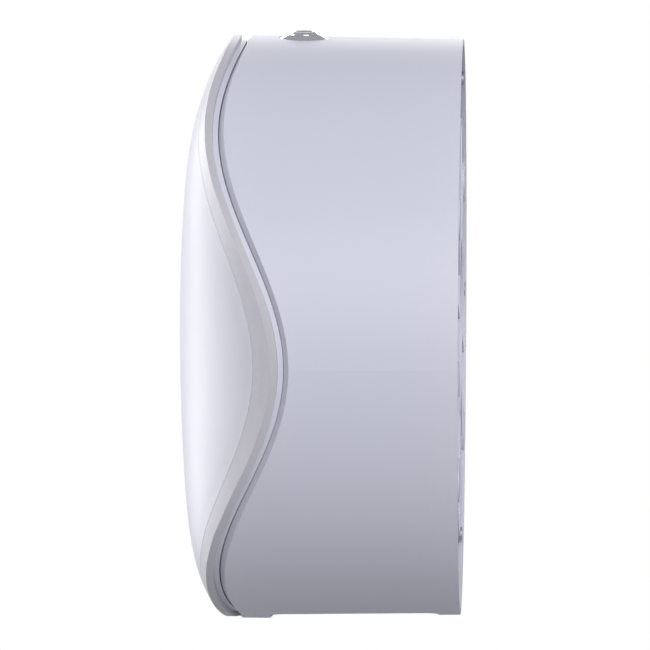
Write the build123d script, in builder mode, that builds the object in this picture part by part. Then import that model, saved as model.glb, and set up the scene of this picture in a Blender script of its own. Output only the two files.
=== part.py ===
"""Round wall dispenser for a jumbo paper roll, in millimetres.

The drum's axis is Y. The wall plane is y = 0, the domed door faces -Y, X runs across and Z is up.
The origin is the centre of the face that meets the wall. A depth is a distance in front of the wall.
"""

from build123d import *
import math
import os

# Drum
drum_radius = 135.0
back_radius = 133.5
draft_depth = 100.0
drum_wall = 2.8
depth_top = 97.5
depth_side = 74.3
depth_lobe = 104.9
wave_skew = 1.1
wave_bevel = 2.0
wave_points = 72

# Groove between the drum and the door: the door's skirt is its floor, and the drum's neck lies inside
groove_depth = 2.5
groove_width = 5.2
skirt_wall = 2.6
skirt_gap = 0.7
skirt_seat = 0.05
neck_gap = 0.35
neck_wall = 2.4
neck_start = 62.0
neck_web = 4.0
neck_rise = 4.2

# Door
rim_lip = 3.4
rim_width = 5.5
seat_width = 5.5
panel_wall = 2.5
panel_gap = 0.2
apex_depth = 130.0
crown_drop = 11.8
shoulder_drop = 7.3
edge_power = 10
dome_margin = 3.0
dome_rows = 25
dome_tolerance = 0.05
ear_setback = 1.0

# Paper mouth
mouth_half = 41.0
mouth_rear = 10.0
mouth_front = 87.5
mouth_corner = 6.0

# Tear strips
rail_width = 8.0
rail_height = 4.5
rail_sink = 1.0
strip_wall = 0.8
strip_reach = 9.0
strip_tail = 4.0
tooth_pitch = 2.0
tooth_height = 1.8
strip_teeth = 36
strip_screw_span = 56.0
rail_margin = 0.5

# Back plate
plate_recess = 2.5
plate_wall = 2.5
plate_gap = 0.4
boss_radius = 5.5
boss_sink = 1.0
boss_length = 19.0
boss_count = 6
wall_hole_radius = 3.0
wall_hole_across = 140.0
wall_hole_up = 120.0
wall_pad_radius = 10.0
rib_height = 1.9
rib_wall = 2.0
ring_ribs = (96.0, 40.0)
radial_ribs = 12
rib_start_angle = 15.0

# Screws
screw_radius = 1.5
screw_head_radius = 3.2
screw_head_height = 1.8
screw_length = 14.0
small_screw_radius = 1.2
small_head_radius = 2.2
small_head_height = 1.4
pilot_gap = 0.05
pass_gap = 0.2
drive_width = 0.8
drive_depth = 0.7
drive_reach = 1.3

# Roll spindle
post_radius = 9.0
post_depth = 88.0
flange_radius = 24.0
flange_wall = 4.0
flange_screw_circle = 17.2
flange_screw_count = 3
flange_screw_length = 6.0
flange_screw_start = 90.0
running_gap = 0.05
hub_wall = 4.0
hub_end_gap = 0.4
hub_radius = 27.0
hub_fins = 3
fin_wall = 3.0
fin_setback = 8.0
fin_foot = 1.0
stop_radius = 34.0
stop_wall = 2.5
stop_lift = 3.5
washer_radius = 15.0
washer_wall = 2.5
washer_chamfer = 0.6
cap_screw_radius = 1.85
cap_screw_length = 20.0
cap_head_radius = 4.2
cap_head_height = 2.6

# Door hinge
hinge_drop = 2.6
hinge_set = 1.0
hinge_pin_radius = 1.25
hinge_pin_half = 18.0
hinge_barrel = 2.3
hinge_pin_fit = 0.02
ear_inner = 8.0
ear_width = 7.0
ear_gap = 0.5
ear_rear_gap = 1.0
block_half = 30.0
block_gap = 0.2
block_proud = 0.6
block_front_gap = 1.2
block_chamfer = 0.7
block_lap = 0.5
skirt_notch_gap = 0.6
block_flange_wall = 2.3
block_flange_half = 38.0
block_screw_across = 34.0
block_screw_length = 4.6
block_screw_lift = 0.03

# Push button
button_depth = 73.4
button_radius = 6.4
button_gap = 0.1
button_top = 2.9
button_height = 5.2
button_chamfer = 1.0
button_dish = 0.5
button_land = 0.5
button_travel = 3.5
bezel_radius = 11.5
bezel_crest = 7.7
bezel_rise = 1.6
bezel_foot = 0.3
bezel_tube_wall = 2.2
bezel_seat = 0.6
bezel_bore_gap = 0.1
web_wall = 1.6
web_drop = 11.4
nut_height = 2.9
nut_radius = 12.0
nut_drop = 0.7
stem_radius = 2.5
stem_gap = 0.1
stem_tip = 1.2
tip_height = 1.6
clip_radius = 4.4
clip_wall = 0.8
clip_groove = 0.4
spring_inner = 3.4
spring_outer = 4.2
spring_gap = 0.1

# Latch lever
lever_pivot_depth = 40.0
lever_pivot_height = 116.75
lever_front = 103.2
lever_half = 5.7
lever_wall = 3.5
lever_hub = 4.6
lever_gap = 0.3
latch_pin_radius = 2.0
lug_inner = 6.2
lug_wall = 3.0
lug_reach = 6.0
lug_drop = 5.3
latch_spring_radius = 3.6
latch_spring_width = 3.4
lever_relief = 7.9
nose_length = 4.0
nose_flat = 1.8
nose_rise = 2.8

# Striker
striker_half = 7.0
striker_wall = 1.6
striker_front = 109.5
striker_lip = 1.6
striker_gap = 0.5
striker_catch_gap = 0.8
striker_screw_across = 4.0
striker_screw_depth = 106.8
striker_screw_length = 4.6
pad_half = 12.0
pad_height = 4.6

far = 60.0
cut_margin = 1.0
groove_radius = drum_radius - groove_depth
skirt_inner = groove_radius - skirt_wall
neck_outer = skirt_inner - neck_gap
neck_inner = neck_outer - neck_wall
rim_rear = groove_width
rim_front = rim_rear + rim_lip
rim_inner = drum_radius - rim_width
seat_inner = rim_inner - seat_width

wave_middle = (depth_top + depth_side) / 2
wave_mean = (wave_middle + depth_lobe) / 2
wave_lobe = depth_lobe - wave_mean
wave_oval = (depth_top - depth_side) / 2 - wave_skew
edge_drop = apex_depth - wave_mean - rim_front - crown_drop - shoulder_drop

hinge_y = -(depth_top + hinge_set)
hinge_z = -(drum_radius - hinge_drop)


def outer_radius(depth):
    """Outside radius of the drum, which widens a little towards the front."""
    return back_radius + (drum_radius - back_radius) * depth / draft_depth


def wave_depth(angle):
    """Depth of the drum's front edge at an angle in degrees from the top."""
    turn = math.radians(2 * angle)
    return (
        wave_mean
        + wave_oval * math.cos(turn)
        - wave_lobe * math.cos(2 * turn)
        + wave_skew * math.cos(3 * turn)
    )


def wave_curve(radius, ahead):
    """Closed curve round the drum, ahead of its wave edge."""
    points = []
    for step in range(wave_points):
        angle = 360 * step / wave_points
        across = radius * math.sin(math.radians(angle))
        up = radius * math.cos(math.radians(angle))
        points.append((across, -(wave_depth(angle) + ahead), up))
    return Edge.make_spline(points, periodic=True)


def wave_face(ahead, slope=0.0):
    """Ring-shaped face through the wave edge, which slopes forwards inwards across the drum's wall."""
    rise = slope / groove_depth
    inner = seat_inner - pad_height
    outer = drum_radius + dome_margin
    inner_curve = wave_curve(inner, ahead + rise * (drum_radius - inner))
    outer_curve = wave_curve(outer, ahead + rise * (drum_radius - outer))
    return Face.make_surface_from_curves(inner_curve, outer_curve)


def dome_depth(across, up):
    """Depth of the dome's outside at a point of the front view."""
    reach = math.hypot(across, up) / drum_radius
    angle = math.degrees(math.atan2(across, up))
    edge = reach**edge_power if reach < 1 else 1 + edge_power * (reach - 1)
    drop = crown_drop * reach**2 + shoulder_drop * reach**4 + edge_drop * edge
    return apex_depth - drop + (wave_depth(angle) - wave_mean) * reach**4


def dome_face(setback=0.0):
    """The dome's outside surface, set back towards the wall."""
    half = drum_radius + dome_margin
    places = [half * (2 * step / (dome_rows - 1) - 1) for step in range(dome_rows)]
    rows = [[(x, setback - dome_depth(x, z), z) for z in places] for x in places]
    return Face.make_surface_from_array_of_points(rows, tol=dome_tolerance, min_deg=3, max_deg=3)


def add_screw(seat, radius, length, head_radius, head_height):
    """A pan-head screw whose head lies on the seat plane and whose shank goes down through it."""
    with BuildSketch(seat) as head:
        Circle(head_radius)
    extrude(head.sketch, amount=head_height)
    with BuildSketch(seat) as shank:
        Circle(radius)
    extrude(shank.sketch, amount=-length)
    with BuildSketch(seat.offset(head_height)) as drive:
        Rectangle(drive_reach * head_radius, drive_width)
        Rectangle(drive_width, drive_reach * head_radius)
    extrude(drive.sketch, amount=-drive_depth, mode=Mode.SUBTRACT)


def finish(piece, name):
    """Labels a finished piece and writes it."""
    piece.part.label = name
    export_step(piece.part, f"parts/{name}.step")


def radial_seat(angle_from_bottom, radius, depth):
    """Plane on a radius of the drum that faces its axis, turned from the bottom towards +X."""
    sine = math.sin(math.radians(angle_from_bottom))
    cosine = math.cos(math.radians(angle_from_bottom))
    return Plane(
        origin=(radius * sine, -depth, -radius * cosine),
        x_dir=(0, -1, 0),
        z_dir=(-sine, 0, cosine),
    )


os.makedirs("parts", exist_ok=True)

# Places shared by several pieces
plate_rear = plate_recess
plate_front = plate_recess + plate_wall
plate_radius = outer_radius(plate_rear) - drum_wall - plate_gap
boss_circle = outer_radius(plate_front) - drum_wall + boss_sink - boss_radius
boss_start_angle = 0
plate_screw_places = PolarLocations(boss_circle, boss_count, start_angle=boss_start_angle)
rail_angle = math.degrees(math.asin((mouth_half + rail_width / 2) / groove_radius))
rail_base = outer_radius(mouth_front) - drum_wall + rail_sink
rail_top = outer_radius(mouth_rear) - drum_wall - rail_height
rail_middle = (mouth_rear + mouth_front) / 2
rail_length = strip_teeth * tooth_pitch + 2 * rail_margin
flange_front = plate_front + flange_wall
lever_top = lever_pivot_height + lever_wall / 2
nose_top = lever_top + nose_rise
striker_bottom = nose_top + striker_gap
striker_top = striker_bottom + striker_wall
shell_top = outer_radius(button_depth)
bezel_floor = shell_top - bezel_seat
button_crown = shell_top + button_top
button_floor = button_crown - button_height
web_top = shell_top - web_drop + web_wall
web_floor = web_top - web_wall
bezel_bore = button_radius + button_gap
bezel_tube = bezel_bore + bezel_tube_wall
block_screw_angle = math.degrees(math.asin(block_screw_across / neck_inner))
block_flange_outer = neck_inner - block_gap
block_flange_inner = block_flange_outer - block_flange_wall
block_front = depth_top + groove_width - block_front_gap

# Drum shell: the round side wall with its wavy front edge, neck, bosses, lugs and paper mouth
with BuildPart() as drum_shell:
    full_depth = depth_lobe + neck_rise + 2 * cut_margin
    with BuildSketch(Plane.XY):
        with BuildLine():
            Polyline(
                (back_radius, 0),
                (outer_radius(full_depth), -full_depth),
                (outer_radius(full_depth) - drum_wall, -full_depth),
                (back_radius - drum_wall, 0),
                close=True,
            )
        make_face()
    revolve(axis=Axis.Y)
    extrude(wave_face(0, wave_bevel), amount=far, dir=(0, -1, 0), mode=Mode.SUBTRACT)
    with BuildSketch(Plane.XZ.offset(neck_start)):
        Circle(outer_radius(neck_start) - drum_wall / 2)
        Circle(neck_inner, mode=Mode.SUBTRACT)
    extrude(amount=neck_web)
    with BuildSketch(Plane.XZ.offset(neck_start)):
        Circle(neck_outer)
        Circle(neck_inner, mode=Mode.SUBTRACT)
    extrude(amount=full_depth - neck_start)
    extrude(wave_face(neck_rise), amount=far, dir=(0, -1, 0), mode=Mode.SUBTRACT)
    with BuildSketch(Plane.XZ.offset(plate_front)):
        with PolarLocations(boss_circle, boss_count, start_angle=boss_start_angle):
            Circle(boss_radius)
    extrude(amount=boss_length)
    with BuildSketch(Plane.XZ.offset(plate_front)):
        with PolarLocations(boss_circle, boss_count, start_angle=boss_start_angle):
            Circle(screw_radius + pilot_gap)
    extrude(amount=screw_length, mode=Mode.SUBTRACT)
    for side in (-1, 1):
        with BuildSketch(radial_seat(side * rail_angle, rail_base, rail_middle)):
            Rectangle(rail_length, rail_width)
        extrude(amount=rail_base - rail_top)
    with BuildSketch(Plane.XY.offset(-drum_radius - far / 2)):
        with Locations((0, -rail_middle)):
            RectangleRounded(2 * mouth_half, mouth_front - mouth_rear, mouth_corner)
    extrude(amount=far, mode=Mode.SUBTRACT)
    for side in (-1, 1):
        for spot in (-strip_screw_span / 2, strip_screw_span / 2):
            with BuildSketch(radial_seat(side * rail_angle, rail_top, rail_middle + spot)):
                Circle(small_screw_radius + pilot_gap)
            extrude(amount=-rail_height, mode=Mode.SUBTRACT)
    with BuildSketch(Plane.XY.offset(-drum_radius - far / 2)):
        with Locations((0, -(mouth_front - mouth_corner + full_depth) / 2)):
            Rectangle(2 * (block_half + block_gap), full_depth - mouth_front + mouth_corner)
    extrude(amount=far, mode=Mode.SUBTRACT)
    for side in (-1, 1):
        seat = radial_seat(side * block_screw_angle, block_flange_inner, (mouth_front + block_front) / 2)
        with BuildSketch(seat):
            Circle(small_screw_radius + pilot_gap)
        extrude(amount=-block_screw_length - pass_gap, mode=Mode.SUBTRACT)
    with BuildSketch(Plane.XY.offset(bezel_floor)):
        with Locations((0, -button_depth)):
            Circle(bezel_radius + pass_gap)
    extrude(amount=far, mode=Mode.SUBTRACT)
    with BuildSketch(Plane.XY.offset(neck_inner - far / 2)):
        with Locations((0, -button_depth)):
            Circle(bezel_tube + bezel_bore_gap)
    extrude(amount=far, mode=Mode.SUBTRACT)
    lug_top = outer_radius(lever_pivot_depth) - drum_wall / 2
    lug_bottom = lever_pivot_height - lug_drop
    for side in (-1, 1):
        with BuildSketch(Plane.YZ.offset(side * (lug_inner + lug_wall / 2))):
            with Locations((-lever_pivot_depth, (lug_top + lug_bottom) / 2)):
                Rectangle(2 * lug_reach, lug_top - lug_bottom)
        extrude(amount=lug_wall / 2, both=True)
    with BuildSketch(Plane.YZ):
        with Locations((-lever_pivot_depth, lever_pivot_height)):
            Circle(latch_pin_radius + running_gap)
    extrude(amount=lug_inner + lug_wall + cut_margin, both=True, mode=Mode.SUBTRACT)
finish(drum_shell, "drum_shell")

# Back plate: closes the drum at the wall, with ribs and wall pads on its hidden side
with BuildPart() as back_plate:
    with BuildSketch(Plane.XZ.offset(plate_rear)):
        Circle(plate_radius)
    extrude(amount=plate_wall)
    with BuildSketch(Plane.XZ.offset(plate_rear)):
        for radius in ring_ribs:
            Circle(radius + rib_wall / 2)
            Circle(radius - rib_wall / 2, mode=Mode.SUBTRACT)
    extrude(amount=-rib_height)
    with BuildSketch(Plane.XZ.offset(plate_rear)):
        with PolarLocations(sum(ring_ribs) / 2, radial_ribs, start_angle=rib_start_angle):
            Rectangle(ring_ribs[0] - ring_ribs[1], rib_wall)
    extrude(amount=-rib_height)
    with BuildSketch(Plane.XZ.offset(plate_rear)):
        with GridLocations(wall_hole_across, wall_hole_up, 2, 2):
            Circle(wall_pad_radius)
    extrude(amount=-plate_rear)
    with BuildSketch(Plane.XZ.offset(-cut_margin)):
        with GridLocations(wall_hole_across, wall_hole_up, 2, 2):
            Circle(wall_hole_radius)
        with PolarLocations(boss_circle, boss_count, start_angle=boss_start_angle):
            Circle(screw_radius + pass_gap)
    extrude(amount=plate_front + 2 * cut_margin, mode=Mode.SUBTRACT)
    with BuildSketch(Plane.XZ.offset(plate_front)):
        with PolarLocations(flange_screw_circle, flange_screw_count, start_angle=flange_screw_start):
            Circle(screw_radius + pilot_gap)
    extrude(amount=-flange_screw_length + flange_wall, mode=Mode.SUBTRACT)
finish(back_plate, "back_plate")

with BuildPart() as plate_screws:
    for place in plate_screw_places:
        spot = place.position
        seat = Plane(origin=(spot.X, -plate_rear, spot.Y), x_dir=(1, 0, 0), z_dir=(0, 1, 0))
        add_screw(seat, screw_radius, screw_length, screw_head_radius, screw_head_height)
finish(plate_screws, "plate_screws")

# Hinge block: the foot under the drum's front edge that holds the door's hinge pin
with BuildPart() as hinge_block:
    with BuildSketch(Plane.XZ.offset(mouth_front)):
        Circle(drum_radius + block_proud)
        Circle(neck_inner, mode=Mode.SUBTRACT)
        with Locations((0, -drum_radius)):
            Rectangle(2 * block_half, drum_radius, mode=Mode.INTERSECT)
    extrude(amount=block_front - mouth_front)
    chamfer(edges().filter_by(GeomType.CIRCLE).sort_by(Axis.Z)[:2], block_chamfer)
    with BuildSketch(Plane.XZ.offset(mouth_front)):
        Circle(neck_inner + block_lap)
        Circle(block_flange_inner, mode=Mode.SUBTRACT)
        with Locations((0, -drum_radius)):
            Rectangle(2 * block_half, drum_radius, mode=Mode.INTERSECT)
    extrude(amount=block_front - mouth_front)
    with BuildSketch(Plane.XZ.offset(mouth_front)):
        Circle(block_flange_outer)
        Circle(block_flange_inner, mode=Mode.SUBTRACT)
        with Locations((0, -drum_radius)):
            Rectangle(2 * block_flange_half, drum_radius, mode=Mode.INTERSECT)
    extrude(amount=block_front - mouth_front)
    pocket_rear = -hinge_y - hinge_barrel - ear_rear_gap
    pocket_top = hinge_z + hinge_barrel + ear_gap
    with BuildSketch(Plane.XY.offset(pocket_top)):
        with Locations((0, -(pocket_rear + block_front + cut_margin) / 2)):
            with GridLocations(2 * ear_inner + ear_width, 0, 2, 1):
                Rectangle(ear_width + 2 * ear_gap, block_front - pocket_rear + cut_margin)
    extrude(amount=-far, mode=Mode.SUBTRACT)
    with BuildSketch(Plane.YZ):
        with Locations((hinge_y, hinge_z)):
            Circle(hinge_pin_radius + hinge_pin_fit)
    extrude(amount=hinge_pin_half + ear_gap, both=True, mode=Mode.SUBTRACT)
    for side in (-1, 1):
        seat = radial_seat(side * block_screw_angle, block_flange_inner, (mouth_front + block_front) / 2)
        with BuildSketch(seat):
            Circle(small_screw_radius + pass_gap)
        extrude(amount=-block_flange_wall - cut_margin, mode=Mode.SUBTRACT)
finish(hinge_block, "hinge_block")

with BuildPart() as hinge_screws:
    for side in (-1, 1):
        seat = radial_seat(side * block_screw_angle, block_flange_inner - block_screw_lift, (mouth_front + block_front) / 2)
        add_screw(seat, small_screw_radius, block_screw_length, small_head_radius, small_head_height)
finish(hinge_screws, "hinge_screws")

with BuildPart() as hinge_pin:
    with BuildSketch(Plane.YZ.offset(-hinge_pin_half)):
        with Locations((hinge_y, hinge_z)):
            Circle(hinge_pin_radius)
    extrude(amount=2 * hinge_pin_half)
finish(hinge_pin, "hinge_pin")

# Tear strips: toothed steel edges along both long sides of the mouth
with BuildPart() as tear_strip_right:
    seat = radial_seat(rail_angle, rail_top, rail_middle)
    strip_half = strip_teeth * tooth_pitch / 2
    with BuildSketch(seat):
        with BuildLine():
            outline = [(-strip_half, strip_tail), (-strip_half, tooth_height - strip_reach)]
            for tooth in range(strip_teeth):
                start = -strip_half + tooth * tooth_pitch
                outline.append((start + tooth_pitch / 2, -strip_reach))
                outline.append((start + tooth_pitch, tooth_height - strip_reach))
            outline.append((strip_half, strip_tail))
            Polyline(*outline, close=True)
        make_face()
        with GridLocations(strip_screw_span, 0, 2, 1):
            Circle(small_screw_radius + pass_gap, mode=Mode.SUBTRACT)
    extrude(amount=strip_wall)
finish(tear_strip_right, "tear_strip_right")

with BuildPart() as tear_strip_left:
    mirror(tear_strip_right.part, about=Plane.YZ)
finish(tear_strip_left, "tear_strip_left")

with BuildPart() as tear_strip_screws:
    for side in (-1, 1):
        for spot in (-strip_screw_span / 2, strip_screw_span / 2):
            seat = radial_seat(side * rail_angle, rail_top - strip_wall, rail_middle + spot)
            add_screw(seat, small_screw_radius, rail_height, small_head_radius, small_head_height)
finish(tear_strip_screws, "tear_strip_screws")

# Roll spindle
with BuildPart() as spindle_post:
    with BuildSketch(Plane.XZ.offset(plate_front)):
        Circle(flange_radius)
        with PolarLocations(flange_screw_circle, flange_screw_count, start_angle=flange_screw_start):
            Circle(screw_radius + pass_gap, mode=Mode.SUBTRACT)
    extrude(amount=flange_wall)
    with BuildSketch(Plane.XZ.offset(flange_front)):
        Circle(post_radius)
    extrude(amount=post_depth - flange_front)
    with BuildSketch(Plane.XZ.offset(post_depth)):
        Circle(cap_screw_radius + pilot_gap)
    extrude(amount=-cap_screw_length, mode=Mode.SUBTRACT)
finish(spindle_post, "spindle_post")

with BuildPart() as spindle_screws:
    for place in PolarLocations(flange_screw_circle, flange_screw_count, start_angle=flange_screw_start):
        spot = place.position
        seat = Plane(origin=(spot.X, -flange_front, spot.Y), x_dir=(1, 0, 0), z_dir=(0, -1, 0))
        add_screw(seat, screw_radius, flange_screw_length, screw_head_radius, screw_head_height)
finish(spindle_screws, "spindle_screws")

# Roll hub: the finned sleeve that turns with the roll's core
with BuildPart() as roll_hub:
    hub_bore = post_radius + running_gap
    hub_outer = hub_bore + hub_wall
    hub_rear = flange_front + hub_end_gap
    hub_front = post_depth - hub_end_gap
    stop_rear = flange_front + stop_lift
    with BuildSketch(Plane.XZ.offset(hub_rear)):
        Circle(hub_outer)
    extrude(amount=hub_front - hub_rear)
    with BuildSketch(Plane.XZ.offset(stop_rear)):
        Circle(stop_radius)
    extrude(amount=stop_wall)
    for fin in range(hub_fins):
        with BuildSketch(Plane.XY.rotated((0, 90 + fin * 360 / hub_fins, 0))):
            with BuildLine():
                Polyline(
                    (hub_bore + hub_wall / 2, -stop_rear - stop_wall / 2),
                    (hub_radius, -stop_rear - stop_wall / 2),
                    (hub_radius, -hub_front + 2 * fin_setback),
                    (hub_outer + fin_foot, -hub_front + fin_setback / 2),
                    (hub_bore + hub_wall / 2, -hub_front + fin_setback / 2),
                    close=True,
                )
            make_face()
        extrude(amount=fin_wall / 2, both=True)
    with BuildSketch(Plane.XZ):
        Circle(hub_bore)
    extrude(amount=apex_depth, mode=Mode.SUBTRACT)
finish(roll_hub, "roll_hub")

with BuildPart() as hub_washer:
    with BuildSketch(Plane.XZ.offset(post_depth)):
        Circle(washer_radius)
        Circle(cap_screw_radius + pass_gap, mode=Mode.SUBTRACT)
    extrude(amount=washer_wall)
    chamfer(edges().filter_by(GeomType.CIRCLE).sort_by(SortBy.RADIUS)[-2:], washer_chamfer)
finish(hub_washer, "hub_washer")

with BuildPart() as hub_cap_screw:
    front = post_depth + washer_wall
    seat = Plane(origin=(0, -front, 0), x_dir=(1, 0, 0), z_dir=(0, -1, 0))
    add_screw(seat, cap_screw_radius, cap_screw_length, cap_head_radius, cap_head_height)
finish(hub_cap_screw, "hub_cap_screw")

# Door skirt: the ring behind the rim's lip, which makes the groove's floor and is open round the hinge block
with BuildPart() as door_skirt:
    with BuildSketch(Plane.XZ.offset(depth_side)):
        Circle(groove_radius)
        Circle(skirt_inner, mode=Mode.SUBTRACT)
        with Locations((0, -drum_radius)):
            Rectangle(2 * (block_half + skirt_notch_gap), drum_radius, mode=Mode.SUBTRACT)
    extrude(amount=apex_depth - depth_side)
    skirt_rear = wave_bevel + skirt_gap
    skirt_height = rim_rear - skirt_seat - skirt_rear
    extrude(wave_face(skirt_rear), amount=skirt_height, dir=(0, -1, 0), mode=Mode.INTERSECT)
finish(door_skirt, "door_skirt")

# Pocket of the door rim, in which the dome is set
with BuildPart() as panel_pocket:
    with BuildSketch(Plane.XZ.offset(depth_side)):
        Circle(rim_inner)
    extrude(amount=apex_depth + cut_margin - depth_side)
    extrude(dome_face(panel_wall + panel_gap), amount=far, dir=(0, -1, 0), mode=Mode.INTERSECT)

# Door rim: the wavy lip, the seat ring for the dome, the hinge ears and the striker pad
with BuildPart() as door_rim:
    with BuildSketch(Plane.XZ.offset(depth_side)):
        Circle(drum_radius)
        Circle(seat_inner, mode=Mode.SUBTRACT)
        with Locations((0, striker_top + pad_height / 2)):
            Rectangle(2 * pad_half, pad_height)
    extrude(amount=apex_depth - depth_side)
    extrude(wave_face(rim_rear), amount=far, dir=(0, -1, 0), mode=Mode.INTERSECT)
    extrude(dome_face(), amount=far, dir=(0, -1, 0), mode=Mode.SUBTRACT)
    add(panel_pocket.part, mode=Mode.SUBTRACT)
    ear_front = depth_top + rim_front - ear_setback
    for side in (-1, 1):
        with BuildSketch(Plane.YZ.offset(side * (ear_inner + ear_width / 2))):
            with Locations((hinge_y, hinge_z)):
                Circle(hinge_barrel)
            with Locations(((hinge_y - ear_front) / 2, hinge_z)):
                Rectangle(ear_front + hinge_y, 2 * hinge_barrel - ear_gap)
        extrude(amount=ear_width / 2, both=True)
    with BuildSketch(Plane.YZ):
        with Locations((hinge_y, hinge_z)):
            Circle(hinge_pin_radius + running_gap)
    extrude(amount=hinge_pin_half + ear_gap, both=True, mode=Mode.SUBTRACT)
    with BuildSketch(Plane.XY.offset(striker_top)):
        with Locations((0, -striker_screw_depth)):
            with GridLocations(2 * striker_screw_across, 0, 2, 1):
                Circle(small_screw_radius + pilot_gap)
    extrude(amount=striker_screw_length - striker_wall + pass_gap, mode=Mode.SUBTRACT)
finish(door_rim, "door_rim")

# Door panel: the dome, set into the rim
with BuildPart() as door_panel:
    extrude(dome_face(), amount=panel_wall, dir=(0, 1, 0))
    with BuildSketch(Plane.XZ):
        Circle(rim_inner - panel_gap)
    extrude(amount=apex_depth + cut_margin, mode=Mode.INTERSECT)
finish(door_panel, "door_panel")

# Striker: the steel tongue on the door's top, with a lip turned down behind the latch's nose
with BuildPart() as striker_plate:
    lip_front = lever_front - nose_length - striker_catch_gap
    lip_rear = lip_front - striker_lip
    lip_bottom = lever_top + striker_gap
    with BuildSketch(Plane.YZ):
        with BuildLine():
            Polyline(
                (-striker_front, striker_top),
                (-lip_rear, striker_top),
                (-lip_rear, lip_bottom),
                (-lip_front, lip_bottom),
                (-lip_front, striker_bottom),
                (-striker_front, striker_bottom),
                close=True,
            )
        make_face()
    extrude(amount=striker_half, both=True)
    with BuildSketch(Plane.XY.offset(striker_bottom)):
        with Locations((0, -striker_screw_depth)):
            with GridLocations(2 * striker_screw_across, 0, 2, 1):
                Circle(small_screw_radius + pass_gap)
    extrude(amount=striker_wall, mode=Mode.SUBTRACT)
finish(striker_plate, "striker_plate")

with BuildPart() as striker_screws:
    for side in (-1, 1):
        seat = Plane(
            origin=(side * striker_screw_across, -striker_screw_depth, striker_bottom),
            x_dir=(1, 0, 0),
            z_dir=(0, 0, -1),
        )
        add_screw(seat, small_screw_radius, striker_screw_length, small_head_radius, small_head_height)
finish(striker_screws, "striker_screws")


def turned_piece(profile):
    """A closed outline of radius and height, turned about the button's upright axis."""
    with BuildSketch(Plane.XZ.offset(button_depth)) as half:
        with BuildLine():
            Polyline(*profile, close=True)
        make_face()
    return revolve(half.sketch, axis=Axis((0, -button_depth, 0), (0, 0, 1)), mode=Mode.PRIVATE)


# Bezel: the chromed collar round the button, with the web that guides the stem
with BuildPart() as latch_bezel:
    collar_top = shell_top + bezel_rise
    add(
        turned_piece(
            [
                (bezel_bore, web_top),
                (bezel_bore, collar_top),
                (bezel_crest, collar_top),
                (bezel_radius, shell_top + bezel_foot - bezel_seat),
                (bezel_radius, bezel_floor),
                (bezel_tube, bezel_floor),
                (bezel_tube, web_floor),
                (stem_radius + stem_gap, web_floor),
                (stem_radius + stem_gap, web_top),
            ]
        )
    )
finish(latch_bezel, "latch_bezel")

with BuildPart() as bezel_nut:
    nut_top = neck_inner - nut_drop
    with BuildSketch(Plane.XY.offset(nut_top - nut_height)):
        with Locations((0, -button_depth)):
            RegularPolygon(nut_radius, 6)
            Circle(bezel_tube + pilot_gap, mode=Mode.SUBTRACT)
    extrude(amount=nut_height)
finish(bezel_nut, "bezel_nut")

with BuildPart() as push_button:
    dish_radius = button_radius - 2 * button_chamfer - button_land
    add(
        turned_piece(
            [
                (0, button_floor),
                (button_radius, button_floor),
                (button_radius, button_crown - button_chamfer),
                (button_radius - button_chamfer, button_crown),
                (dish_radius + button_chamfer, button_crown),
                (dish_radius, button_crown - button_dish),
                (0, button_crown - button_dish),
            ]
        )
    )
finish(push_button, "push_button")

clip_top = web_floor - clip_groove / 2
with BuildPart() as button_stem:
    tip = lever_top + lever_gap
    add(
        turned_piece(
            [
                (0, button_floor),
                (stem_radius, button_floor),
                (stem_radius, clip_top),
                (stem_radius - clip_groove, clip_top),
                (stem_radius - clip_groove, clip_top - clip_wall),
                (stem_radius, clip_top - clip_wall),
                (stem_radius, tip + tip_height),
                (stem_tip, tip),
                (0, tip),
            ]
        )
    )
finish(button_stem, "button_stem")

with BuildPart() as stem_clip:
    with BuildSketch(Plane.XY.offset(clip_top)):
        with Locations((0, -button_depth)):
            Circle(clip_radius)
            Circle(stem_radius - clip_groove, mode=Mode.SUBTRACT)
            with Locations((0, clip_radius)):
                Rectangle(stem_radius, clip_radius, mode=Mode.SUBTRACT)
    extrude(amount=-clip_wall)
finish(stem_clip, "stem_clip")

with BuildPart() as button_spring:
    with BuildSketch(Plane.XY.offset(web_top + spring_gap)):
        with Locations((0, -button_depth)):
            Circle(spring_outer)
            Circle(spring_inner, mode=Mode.SUBTRACT)
    extrude(amount=button_floor - web_top - 2 * spring_gap)
finish(button_spring, "button_spring")

# Latch lever: turns on its pin behind the button and drops its nose clear of the striker
with BuildPart() as latch_lever:
    with BuildSketch(Plane.YZ):
        with BuildLine():
            lever_bottom = lever_top - lever_wall
            Polyline(
                (-lever_pivot_depth, lever_bottom),
                (-lever_pivot_depth, lever_top),
                (-(lever_front - nose_length), lever_top),
                (-(lever_front - nose_length), nose_top),
                (-(lever_front - nose_length + nose_flat), nose_top),
                (-lever_front, lever_top),
                (-lever_front, lever_bottom),
                close=True,
            )
        make_face()
        with Locations((-lever_pivot_depth, lever_pivot_height)):
            Circle(lever_hub)
    extrude(amount=lever_half, both=True)
    with BuildSketch(Plane.YZ.offset(lever_half - latch_spring_width)):
        with Locations((-lever_pivot_depth, lever_pivot_height)):
            Rectangle(2 * lever_relief, 4 * lever_hub)
    extrude(amount=far, mode=Mode.SUBTRACT)
    with BuildSketch(Plane.YZ):
        with Locations((-lever_pivot_depth, lever_pivot_height)):
            Circle(latch_pin_radius + running_gap)
    extrude(amount=lever_half + cut_margin, both=True, mode=Mode.SUBTRACT)
finish(latch_lever, "latch_lever")

with BuildPart() as latch_pin:
    with BuildSketch(Plane.YZ):
        with Locations((-lever_pivot_depth, lever_pivot_height)):
            Circle(latch_pin_radius)
    extrude(amount=lug_inner + lug_wall, both=True)
finish(latch_pin, "latch_pin")

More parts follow.
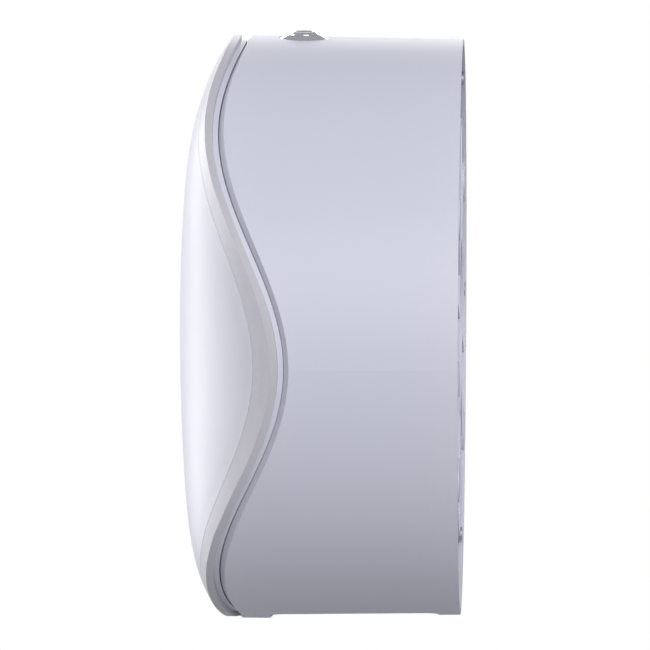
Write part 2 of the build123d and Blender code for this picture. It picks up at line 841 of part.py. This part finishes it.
with BuildPart() as latch_spring:
    with BuildSketch(Plane.YZ.offset(lever_half - latch_spring_width + spring_gap)):
        with Locations((-lever_pivot_depth, lever_pivot_height)):
            Circle(latch_spring_radius)
            Circle(latch_pin_radius + spring_gap, mode=Mode.SUBTRACT)
    extrude(amount=latch_spring_width)
finish(latch_spring, "latch_spring")
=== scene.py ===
import math

import bpy
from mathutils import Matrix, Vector


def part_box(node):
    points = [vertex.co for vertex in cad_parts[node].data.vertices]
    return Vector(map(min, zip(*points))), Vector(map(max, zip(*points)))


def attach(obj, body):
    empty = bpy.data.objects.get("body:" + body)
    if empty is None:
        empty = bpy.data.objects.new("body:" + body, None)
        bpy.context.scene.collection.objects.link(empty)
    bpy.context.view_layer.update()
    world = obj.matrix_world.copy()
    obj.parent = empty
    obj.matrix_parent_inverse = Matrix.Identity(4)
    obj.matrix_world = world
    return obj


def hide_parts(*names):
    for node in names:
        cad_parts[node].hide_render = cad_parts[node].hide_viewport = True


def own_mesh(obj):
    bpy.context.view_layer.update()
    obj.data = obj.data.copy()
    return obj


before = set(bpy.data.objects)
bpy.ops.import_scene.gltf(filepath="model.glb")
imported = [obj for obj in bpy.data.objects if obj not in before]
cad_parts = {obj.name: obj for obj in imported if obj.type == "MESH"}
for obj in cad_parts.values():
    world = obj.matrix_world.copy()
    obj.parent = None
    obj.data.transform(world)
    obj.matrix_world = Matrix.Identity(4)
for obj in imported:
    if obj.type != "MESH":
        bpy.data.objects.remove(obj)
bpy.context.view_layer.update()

# Camera: a long lens at the drum's right side, a little above and behind it
AIM = Vector((0.0, -0.0638, 0.00056))
SIDE_TURN = math.radians(2.278)
RISE = math.radians(8.412)
DISTANCE = 2.6
FOCAL_PIXELS = 5592.7
PHOTO_PIXELS = 650
SENSOR = 36.0

# Studio: lamps as place, size and watts, all aimed at the drum's middle
CENTRE = (0.0, -0.065, 0.0)
LAMPS = {
    "front_softbox": ((-1.4, -2.8, 0.4), (3.4, 3.0), 118),
    "side_softbox": ((2.9, 0.95, 1.45), (2.6, 2.6), 68),
    "rim_softbox": ((-3.0, -0.06, 0.92), (3.0, 1.1), 22),
}
FLOOR_HEIGHT = -1.1
FLOOR_SIZE = 12.0
FLOOR_COLOUR = (0.30, 0.30, 0.31, 1.0)
FLOOR_ROUGHNESS = 0.6
ROOM_COLOUR = (0.86, 0.87, 0.92, 1.0)
ROOM_STRENGTH = 0.44

# Plastics and metals
DRIFT_SCALE, DRIFT_DETAIL = 9.0, 3.0
HAZE_SCALE, HAZE_DETAIL = 60.0, 5.0
PEEL_DETAIL, PEEL_STRENGTH, PEEL_DEPTH = 2.0, 0.05, 0.0002
COAT_ROUGHNESS = 0.3
CORNER_START, CORNER_FULL = 0.52, 0.62
GRAIN_DETAIL, GRAIN_DEPTH = 4.0, 0.0001
PLASTIC_WEAR, METAL_WEAR, WORN_GAIN = 0.5, 0.4, 1.25

# Springs: wire radius and number of turns
BUTTON_WIRE, BUTTON_TURNS = 0.00034, 4.5
LATCH_WIRE, LATCH_TURNS = 0.00042, 3.0
RINGS_PER_TURN, WIRE_SIDES = 28, 10


def place_camera():
    away = Vector(
        (
            math.cos(SIDE_TURN) * math.cos(RISE),
            math.sin(SIDE_TURN) * math.cos(RISE),
            math.sin(RISE),
        )
    )
    data = bpy.data.cameras.new("camera")
    data.sensor_width = SENSOR
    data.lens = FOCAL_PIXELS * SENSOR / PHOTO_PIXELS
    camera = bpy.data.objects.new("camera", data)
    bpy.context.collection.objects.link(camera)
    camera.location = AIM + away * DISTANCE
    camera.rotation_euler = (-away).to_track_quat("-Z", "Y").to_euler()
    bpy.context.scene.camera = camera


def new_group(name, inputs, outputs):
    """A shader node group. Inputs are (name, socket type, value), outputs (name, socket type)."""
    group = bpy.data.node_groups.new(name, "ShaderNodeTree")
    for label, kind, value in inputs:
        socket = group.interface.new_socket(label, in_out="INPUT", socket_type=kind)
        socket.default_value = value
    for label, kind in outputs:
        group.interface.new_socket(label, in_out="OUTPUT", socket_type=kind)
    return group, group.nodes.new("NodeGroupInput"), group.nodes.new("NodeGroupOutput")


def moulded_skin():
    """Moulded plastic's fine texture: slow tone drift, faint haze, shallow orange peel."""
    group, given, made = new_group(
        "moulded_skin",
        [
            ("Colour", "NodeSocketColor", (0.8, 0.8, 0.8, 1.0)),
            ("Tone drift", "NodeSocketFloat", 0.03),
            ("Roughness", "NodeSocketFloat", 0.3),
            ("Haze", "NodeSocketFloat", 0.06),
            ("Peel scale", "NodeSocketFloat", 900.0),
        ],
        [
            ("Colour", "NodeSocketColor"),
            ("Roughness", "NodeSocketFloat"),
            ("Height", "NodeSocketFloat"),
        ],
    )
    nodes, links = group.nodes, group.links
    place = nodes.new("ShaderNodeTexCoord")
    drift = nodes.new("ShaderNodeTexNoise")
    drift.inputs["Scale"].default_value = DRIFT_SCALE
    drift.inputs["Detail"].default_value = DRIFT_DETAIL
    links.new(place.outputs["Object"], drift.inputs["Vector"])
    centred = nodes.new("ShaderNodeMath")
    centred.operation = "SUBTRACT"
    centred.inputs[1].default_value = 0.5
    links.new(drift.outputs["Fac"], centred.inputs[0])
    amount = nodes.new("ShaderNodeMath")
    amount.operation = "MULTIPLY_ADD"
    amount.inputs[2].default_value = 1.0
    links.new(centred.outputs[0], amount.inputs[0])
    links.new(given.outputs["Tone drift"], amount.inputs[1])
    tinted = nodes.new("ShaderNodeHueSaturation")
    links.new(amount.outputs[0], tinted.inputs["Value"])
    links.new(given.outputs["Colour"], tinted.inputs["Color"])
    links.new(tinted.outputs["Color"], made.inputs["Colour"])
    haze = nodes.new("ShaderNodeTexNoise")
    haze.inputs["Scale"].default_value = HAZE_SCALE
    haze.inputs["Detail"].default_value = HAZE_DETAIL
    links.new(place.outputs["Object"], haze.inputs["Vector"])
    rough = nodes.new("ShaderNodeMath")
    rough.operation = "MULTIPLY_ADD"
    links.new(haze.outputs["Fac"], rough.inputs[0])
    links.new(given.outputs["Haze"], rough.inputs[1])
    links.new(given.outputs["Roughness"], rough.inputs[2])
    links.new(rough.outputs[0], made.inputs["Roughness"])
    peel = nodes.new("ShaderNodeTexNoise")
    peel.inputs["Detail"].default_value = PEEL_DETAIL
    links.new(place.outputs["Object"], peel.inputs["Vector"])
    links.new(given.outputs["Peel scale"], peel.inputs["Scale"])
    links.new(peel.outputs["Fac"], made.inputs["Height"])
    return group


def edge_wear():
    """Mask of worn corners: high where the surface turns sharply outwards, broken up by noise."""
    group, given, made = new_group(
        "edge_wear",
        [("Amount", "NodeSocketFloat", 0.5), ("Break-up scale", "NodeSocketFloat", 400.0)],
        [("Mask", "NodeSocketFloat")],
    )
    nodes, links = group.nodes, group.links
    shape = nodes.new("ShaderNodeNewGeometry")
    corner = nodes.new("ShaderNodeMapRange")
    corner.inputs["From Min"].default_value = CORNER_START
    corner.inputs["From Max"].default_value = CORNER_FULL
    links.new(shape.outputs["Pointiness"], corner.inputs["Value"])
    place = nodes.new("ShaderNodeTexCoord")
    speckle = nodes.new("ShaderNodeTexNoise")
    links.new(place.outputs["Object"], speckle.inputs["Vector"])
    links.new(given.outputs["Break-up scale"], speckle.inputs["Scale"])
    broken = nodes.new("ShaderNodeMath")
    broken.operation = "MULTIPLY"
    links.new(corner.outputs["Result"], broken.inputs[0])
    links.new(speckle.outputs["Fac"], broken.inputs[1])
    scaled = nodes.new("ShaderNodeMath")
    scaled.operation = "MULTIPLY"
    scaled.use_clamp = True
    links.new(broken.outputs[0], scaled.inputs[0])
    links.new(given.outputs["Amount"], scaled.inputs[1])
    links.new(scaled.outputs[0], made.inputs["Mask"])
    return group


def drawn_grain():
    """Fine lines left by drawing or turning, stretched along one axis."""
    group, given, made = new_group(
        "drawn_grain",
        [
            ("Along", "NodeSocketVector", (1.0, 1.0, 1.0)),
            ("Roughness", "NodeSocketFloat", 0.3),
            ("Spread", "NodeSocketFloat", 0.15),
        ],
        [("Roughness", "NodeSocketFloat"), ("Height", "NodeSocketFloat")],
    )
    nodes, links = group.nodes, group.links
    place = nodes.new("ShaderNodeTexCoord")
    stretch = nodes.new("ShaderNodeVectorMath")
    stretch.operation = "MULTIPLY"
    links.new(place.outputs["Object"], stretch.inputs[0])
    links.new(given.outputs["Along"], stretch.inputs[1])
    lines = nodes.new("ShaderNodeTexNoise")
    lines.inputs["Scale"].default_value = 1.0
    lines.inputs["Detail"].default_value = GRAIN_DETAIL
    links.new(stretch.outputs[0], lines.inputs["Vector"])
    rough = nodes.new("ShaderNodeMath")
    rough.operation = "MULTIPLY_ADD"
    links.new(lines.outputs["Fac"], rough.inputs[0])
    links.new(given.outputs["Spread"], rough.inputs[1])
    links.new(given.outputs["Roughness"], rough.inputs[2])
    links.new(rough.outputs[0], made.inputs["Roughness"])
    links.new(lines.outputs["Fac"], made.inputs["Height"])
    return group


SKIN = moulded_skin()
WEAR = edge_wear()
GRAIN = drawn_grain()


def blank_material(name):
    material = bpy.data.materials.new(name)
    material.use_nodes = True
    return material, material.node_tree, material.node_tree.nodes["Principled BSDF"]


def place_group(tree, group, values):
    node = tree.nodes.new("ShaderNodeGroup")
    node.node_tree = group
    for label, value in values.items():
        node.inputs[label].default_value = value
    return node


def add_bump(tree, shader, height, strength, distance):
    bump = tree.nodes.new("ShaderNodeBump")
    bump.inputs["Strength"].default_value = strength
    bump.inputs["Distance"].default_value = distance
    tree.links.new(height, bump.inputs["Height"])
    tree.links.new(bump.outputs["Normal"], shader.inputs["Normal"])


def moulded_plastic(name, colour, worn, roughness, drift=0.04, haze=0.06, peel=700.0, coat=0.0):
    material, tree, shader = blank_material(name)
    skin = place_group(
        tree,
        SKIN,
        {
            "Colour": (*colour, 1.0),
            "Tone drift": drift,
            "Roughness": roughness,
            "Haze": haze,
            "Peel scale": peel,
        },
    )
    edges = place_group(tree, WEAR, {"Amount": PLASTIC_WEAR})
    mix = tree.nodes.new("ShaderNodeMix")
    mix.data_type = "RGBA"
    mix.inputs["B"].default_value = (*worn, 1.0)
    tree.links.new(edges.outputs["Mask"], mix.inputs["Factor"])
    tree.links.new(skin.outputs["Colour"], mix.inputs["A"])
    tree.links.new(mix.outputs["Result"], shader.inputs["Base Color"])
    tree.links.new(skin.outputs["Roughness"], shader.inputs["Roughness"])
    add_bump(tree, shader, skin.outputs["Height"], PEEL_STRENGTH, PEEL_DEPTH)
    shader.inputs["Coat Weight"].default_value = coat
    shader.inputs["Coat Roughness"].default_value = COAT_ROUGHNESS
    return material


def metal(name, colour, roughness, along, spread=0.12, bump=0.05):
    material, tree, shader = blank_material(name)
    grain = place_group(tree, GRAIN, {"Along": along, "Roughness": roughness, "Spread": spread})
    edges = place_group(tree, WEAR, {"Amount": METAL_WEAR})
    mix = tree.nodes.new("ShaderNodeMix")
    mix.data_type = "RGBA"
    mix.inputs["A"].default_value = (*colour, 1.0)
    mix.inputs["B"].default_value = (*[min(1.0, WORN_GAIN * c) for c in colour], 1.0)
    tree.links.new(edges.outputs["Mask"], mix.inputs["Factor"])
    tree.links.new(mix.outputs["Result"], shader.inputs["Base Color"])
    tree.links.new(grain.outputs["Roughness"], shader.inputs["Roughness"])
    shader.inputs["Metallic"].default_value = 1.0
    add_bump(tree, shader, grain.outputs["Height"], bump, GRAIN_DEPTH)
    return material


# The drum and the dome are one plastic in two copies. The drum's copy is painted lighter and the
# dome's painted darker, as light and shade fall on each: painted light and painted shade.
DRUM = moulded_plastic(
    "drum_plastic", (0.70, 0.705, 0.80), (0.79, 0.80, 0.87), 0.44, drift=0.012, haze=0.02, coat=0.12
)
DOME = moulded_plastic(
    "dome_plastic", (0.60, 0.60, 0.67), (0.74, 0.75, 0.80), 0.44, drift=0.01, haze=0.02, coat=0.1
)
RIM = moulded_plastic(
    "rim_plastic", (0.56, 0.55, 0.60), (0.74, 0.73, 0.78), 0.40, drift=0.012, haze=0.03, coat=0.15
)
INNER = moulded_plastic(
    "inner_plastic", (0.36, 0.37, 0.41), (0.48, 0.49, 0.53), 0.45, haze=0.12, peel=400.0
)
CHROME = metal("chrome", (0.80, 0.81, 0.84), 0.04, (400.0, 400.0, 60.0), spread=0.05, bump=0.01)
STEEL = metal("drawn_steel", (0.55, 0.55, 0.56), 0.26, (1800.0, 60.0, 1800.0))
ZINC = metal(
    "zinc_plate", (0.46, 0.47, 0.49), 0.36, (700.0, 700.0, 700.0), spread=0.25, bump=0.15
)

FINISHES = {
    "drum_shell": DRUM,
    "hinge_block": DRUM,
    "door_skirt": DRUM,
    "back_plate": DRUM,
    "door_panel": DOME,
    "door_rim": RIM,
    "latch_bezel": CHROME,
    "push_button": CHROME,
    "tear_strip_left": STEEL,
    "tear_strip_right": STEEL,
    "hinge_pin": STEEL,
    "hub_washer": STEEL,
    "striker_plate": STEEL,
    "stem_clip": STEEL,
    "button_spring": STEEL,
    "latch_pin": STEEL,
    "latch_spring": STEEL,
    "plate_screws": ZINC,
    "hinge_screws": ZINC,
    "tear_strip_screws": ZINC,
    "spindle_screws": ZINC,
    "hub_cap_screw": ZINC,
    "striker_screws": ZINC,
}


def dress_nodes():
    for name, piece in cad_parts.items():
        piece.data.materials.clear()
        piece.data.materials.append(FINISHES.get(name, INNER))


def wind_spring(name, foot, axis, radius, wire_radius, rise, turns):
    """A steel wire wound about an upright (Z) or crosswise (X) axis, from its foot on that axis."""
    spring = bpy.data.meshes.new(name)
    rings = int(turns * RINGS_PER_TURN)
    points, faces = [], []
    pitch = rise / (turns * 2 * math.pi)
    for ring in range(rings + 1):
        angle = turns * 2 * math.pi * ring / rings
        outwards = Vector((math.cos(angle), math.sin(angle), 0))
        forwards = Vector((-radius * math.sin(angle), radius * math.cos(angle), pitch))
        upwards = forwards.normalized().cross(outwards)
        middle = outwards * radius + Vector((0, 0, pitch * angle))
        for side in range(WIRE_SIDES):
            turn = 2 * math.pi * side / WIRE_SIDES
            point = middle + wire_radius * (math.cos(turn) * outwards + math.sin(turn) * upwards)
            points.append(foot + (point if axis == "Z" else Vector((point.z, point.x, point.y))))
    for ring in range(rings):
        for side in range(WIRE_SIDES):
            here = ring * WIRE_SIDES + side
            beside = ring * WIRE_SIDES + (side + 1) % WIRE_SIDES
            faces.append((here, here + WIRE_SIDES, beside + WIRE_SIDES, beside))
    faces.append(tuple(range(WIRE_SIDES)))
    faces.append(tuple(rings * WIRE_SIDES + side for side in reversed(range(WIRE_SIDES))))
    spring.from_pydata(points, [], faces)
    for face in spring.polygons:
        face.use_smooth = len(face.vertices) == 4
    coil = bpy.data.objects.new(name, spring)
    bpy.context.collection.objects.link(coil)
    coil.data.materials.append(STEEL)
    return coil


def fit_springs():
    """Wound wires for the button's and the latch lever's springs, each in its node's space."""
    low, high = (Vector(corner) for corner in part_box("button_spring"))
    middle = (low + high) / 2
    lift = high.z - low.z
    button_coil = wind_spring(
        "button_coil",
        Vector((middle.x, middle.y, low.z + BUTTON_WIRE)),
        "Z",
        (high.x - low.x) / 2 - BUTTON_WIRE,
        BUTTON_WIRE,
        lift - 2 * BUTTON_WIRE,
        BUTTON_TURNS,
    )
    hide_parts("button_spring")
    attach(button_coil, "root_drum")
    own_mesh(button_coil)
    low, high = (Vector(corner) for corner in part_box("latch_spring"))
    middle = (low + high) / 2
    latch_coil = wind_spring(
        "latch_coil",
        Vector((low.x + LATCH_WIRE, middle.y, middle.z)),
        "X",
        (high.z - low.z) / 2 - LATCH_WIRE,
        LATCH_WIRE,
        high.x - low.x - 2 * LATCH_WIRE,
        LATCH_TURNS,
    )
    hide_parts("latch_spring")
    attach(latch_coil, "root_drum")


def area_light(name, place, size, watts):
    data = bpy.data.lights.new(name, "AREA")
    data.shape = "RECTANGLE"
    data.size = size[0]
    data.size_y = size[1]
    data.energy = watts
    lamp = bpy.data.objects.new(name, data)
    bpy.context.collection.objects.link(lamp)
    lamp.location = place
    lamp.rotation_euler = (Vector(CENTRE) - Vector(place)).to_track_quat("-Z", "Y").to_euler()


def lay_floor():
    """A plain grey floor far below the wall-hung part, which the camera sees as white."""
    bpy.ops.mesh.primitive_plane_add(size=FLOOR_SIZE, location=(0.0, 0.0, FLOOR_HEIGHT))
    floor = bpy.context.object
    floor.name = "floor"
    material, tree, shader = blank_material("floor_paint")
    shader.inputs["Base Color"].default_value = FLOOR_COLOUR
    shader.inputs["Roughness"].default_value = FLOOR_ROUGHNESS
    white = tree.nodes.new("ShaderNodeEmission")
    path = tree.nodes.new("ShaderNodeLightPath")
    blend = tree.nodes.new("ShaderNodeMixShader")
    tree.links.new(path.outputs["Is Camera Ray"], blend.inputs[0])
    tree.links.new(shader.outputs[0], blend.inputs[1])
    tree.links.new(white.outputs[0], blend.inputs[2])
    tree.links.new(blend.outputs[0], tree.nodes["Material Output"].inputs[0])
    floor.data.materials.append(material)


def studio_world():
    """Even light from all round, and a white background behind the part."""
    world = bpy.data.worlds.new("studio")
    bpy.context.scene.world = world
    world.use_nodes = True
    tree = world.node_tree
    room = tree.nodes["Background"]
    room.inputs["Color"].default_value = ROOM_COLOUR
    room.inputs["Strength"].default_value = ROOM_STRENGTH
    white = tree.nodes.new("ShaderNodeBackground")
    white.inputs["Color"].default_value = (1, 1, 1, 1)
    path = tree.nodes.new("ShaderNodeLightPath")
    blend = tree.nodes.new("ShaderNodeMixShader")
    tree.links.new(path.outputs["Is Camera Ray"], blend.inputs[0])
    tree.links.new(room.outputs[0], blend.inputs[1])
    tree.links.new(white.outputs[0], blend.inputs[2])
    tree.links.new(blend.outputs[0], tree.nodes["World Output"].inputs[0])


dress_nodes()
fit_springs()
place_camera()
for lamp_name, (lamp_place, lamp_size, lamp_watts) in LAMPS.items():
    area_light(lamp_name, lamp_place, lamp_size, lamp_watts)
lay_floor()
studio_world()
bpy.context.scene.view_settings.view_transform = "Standard"
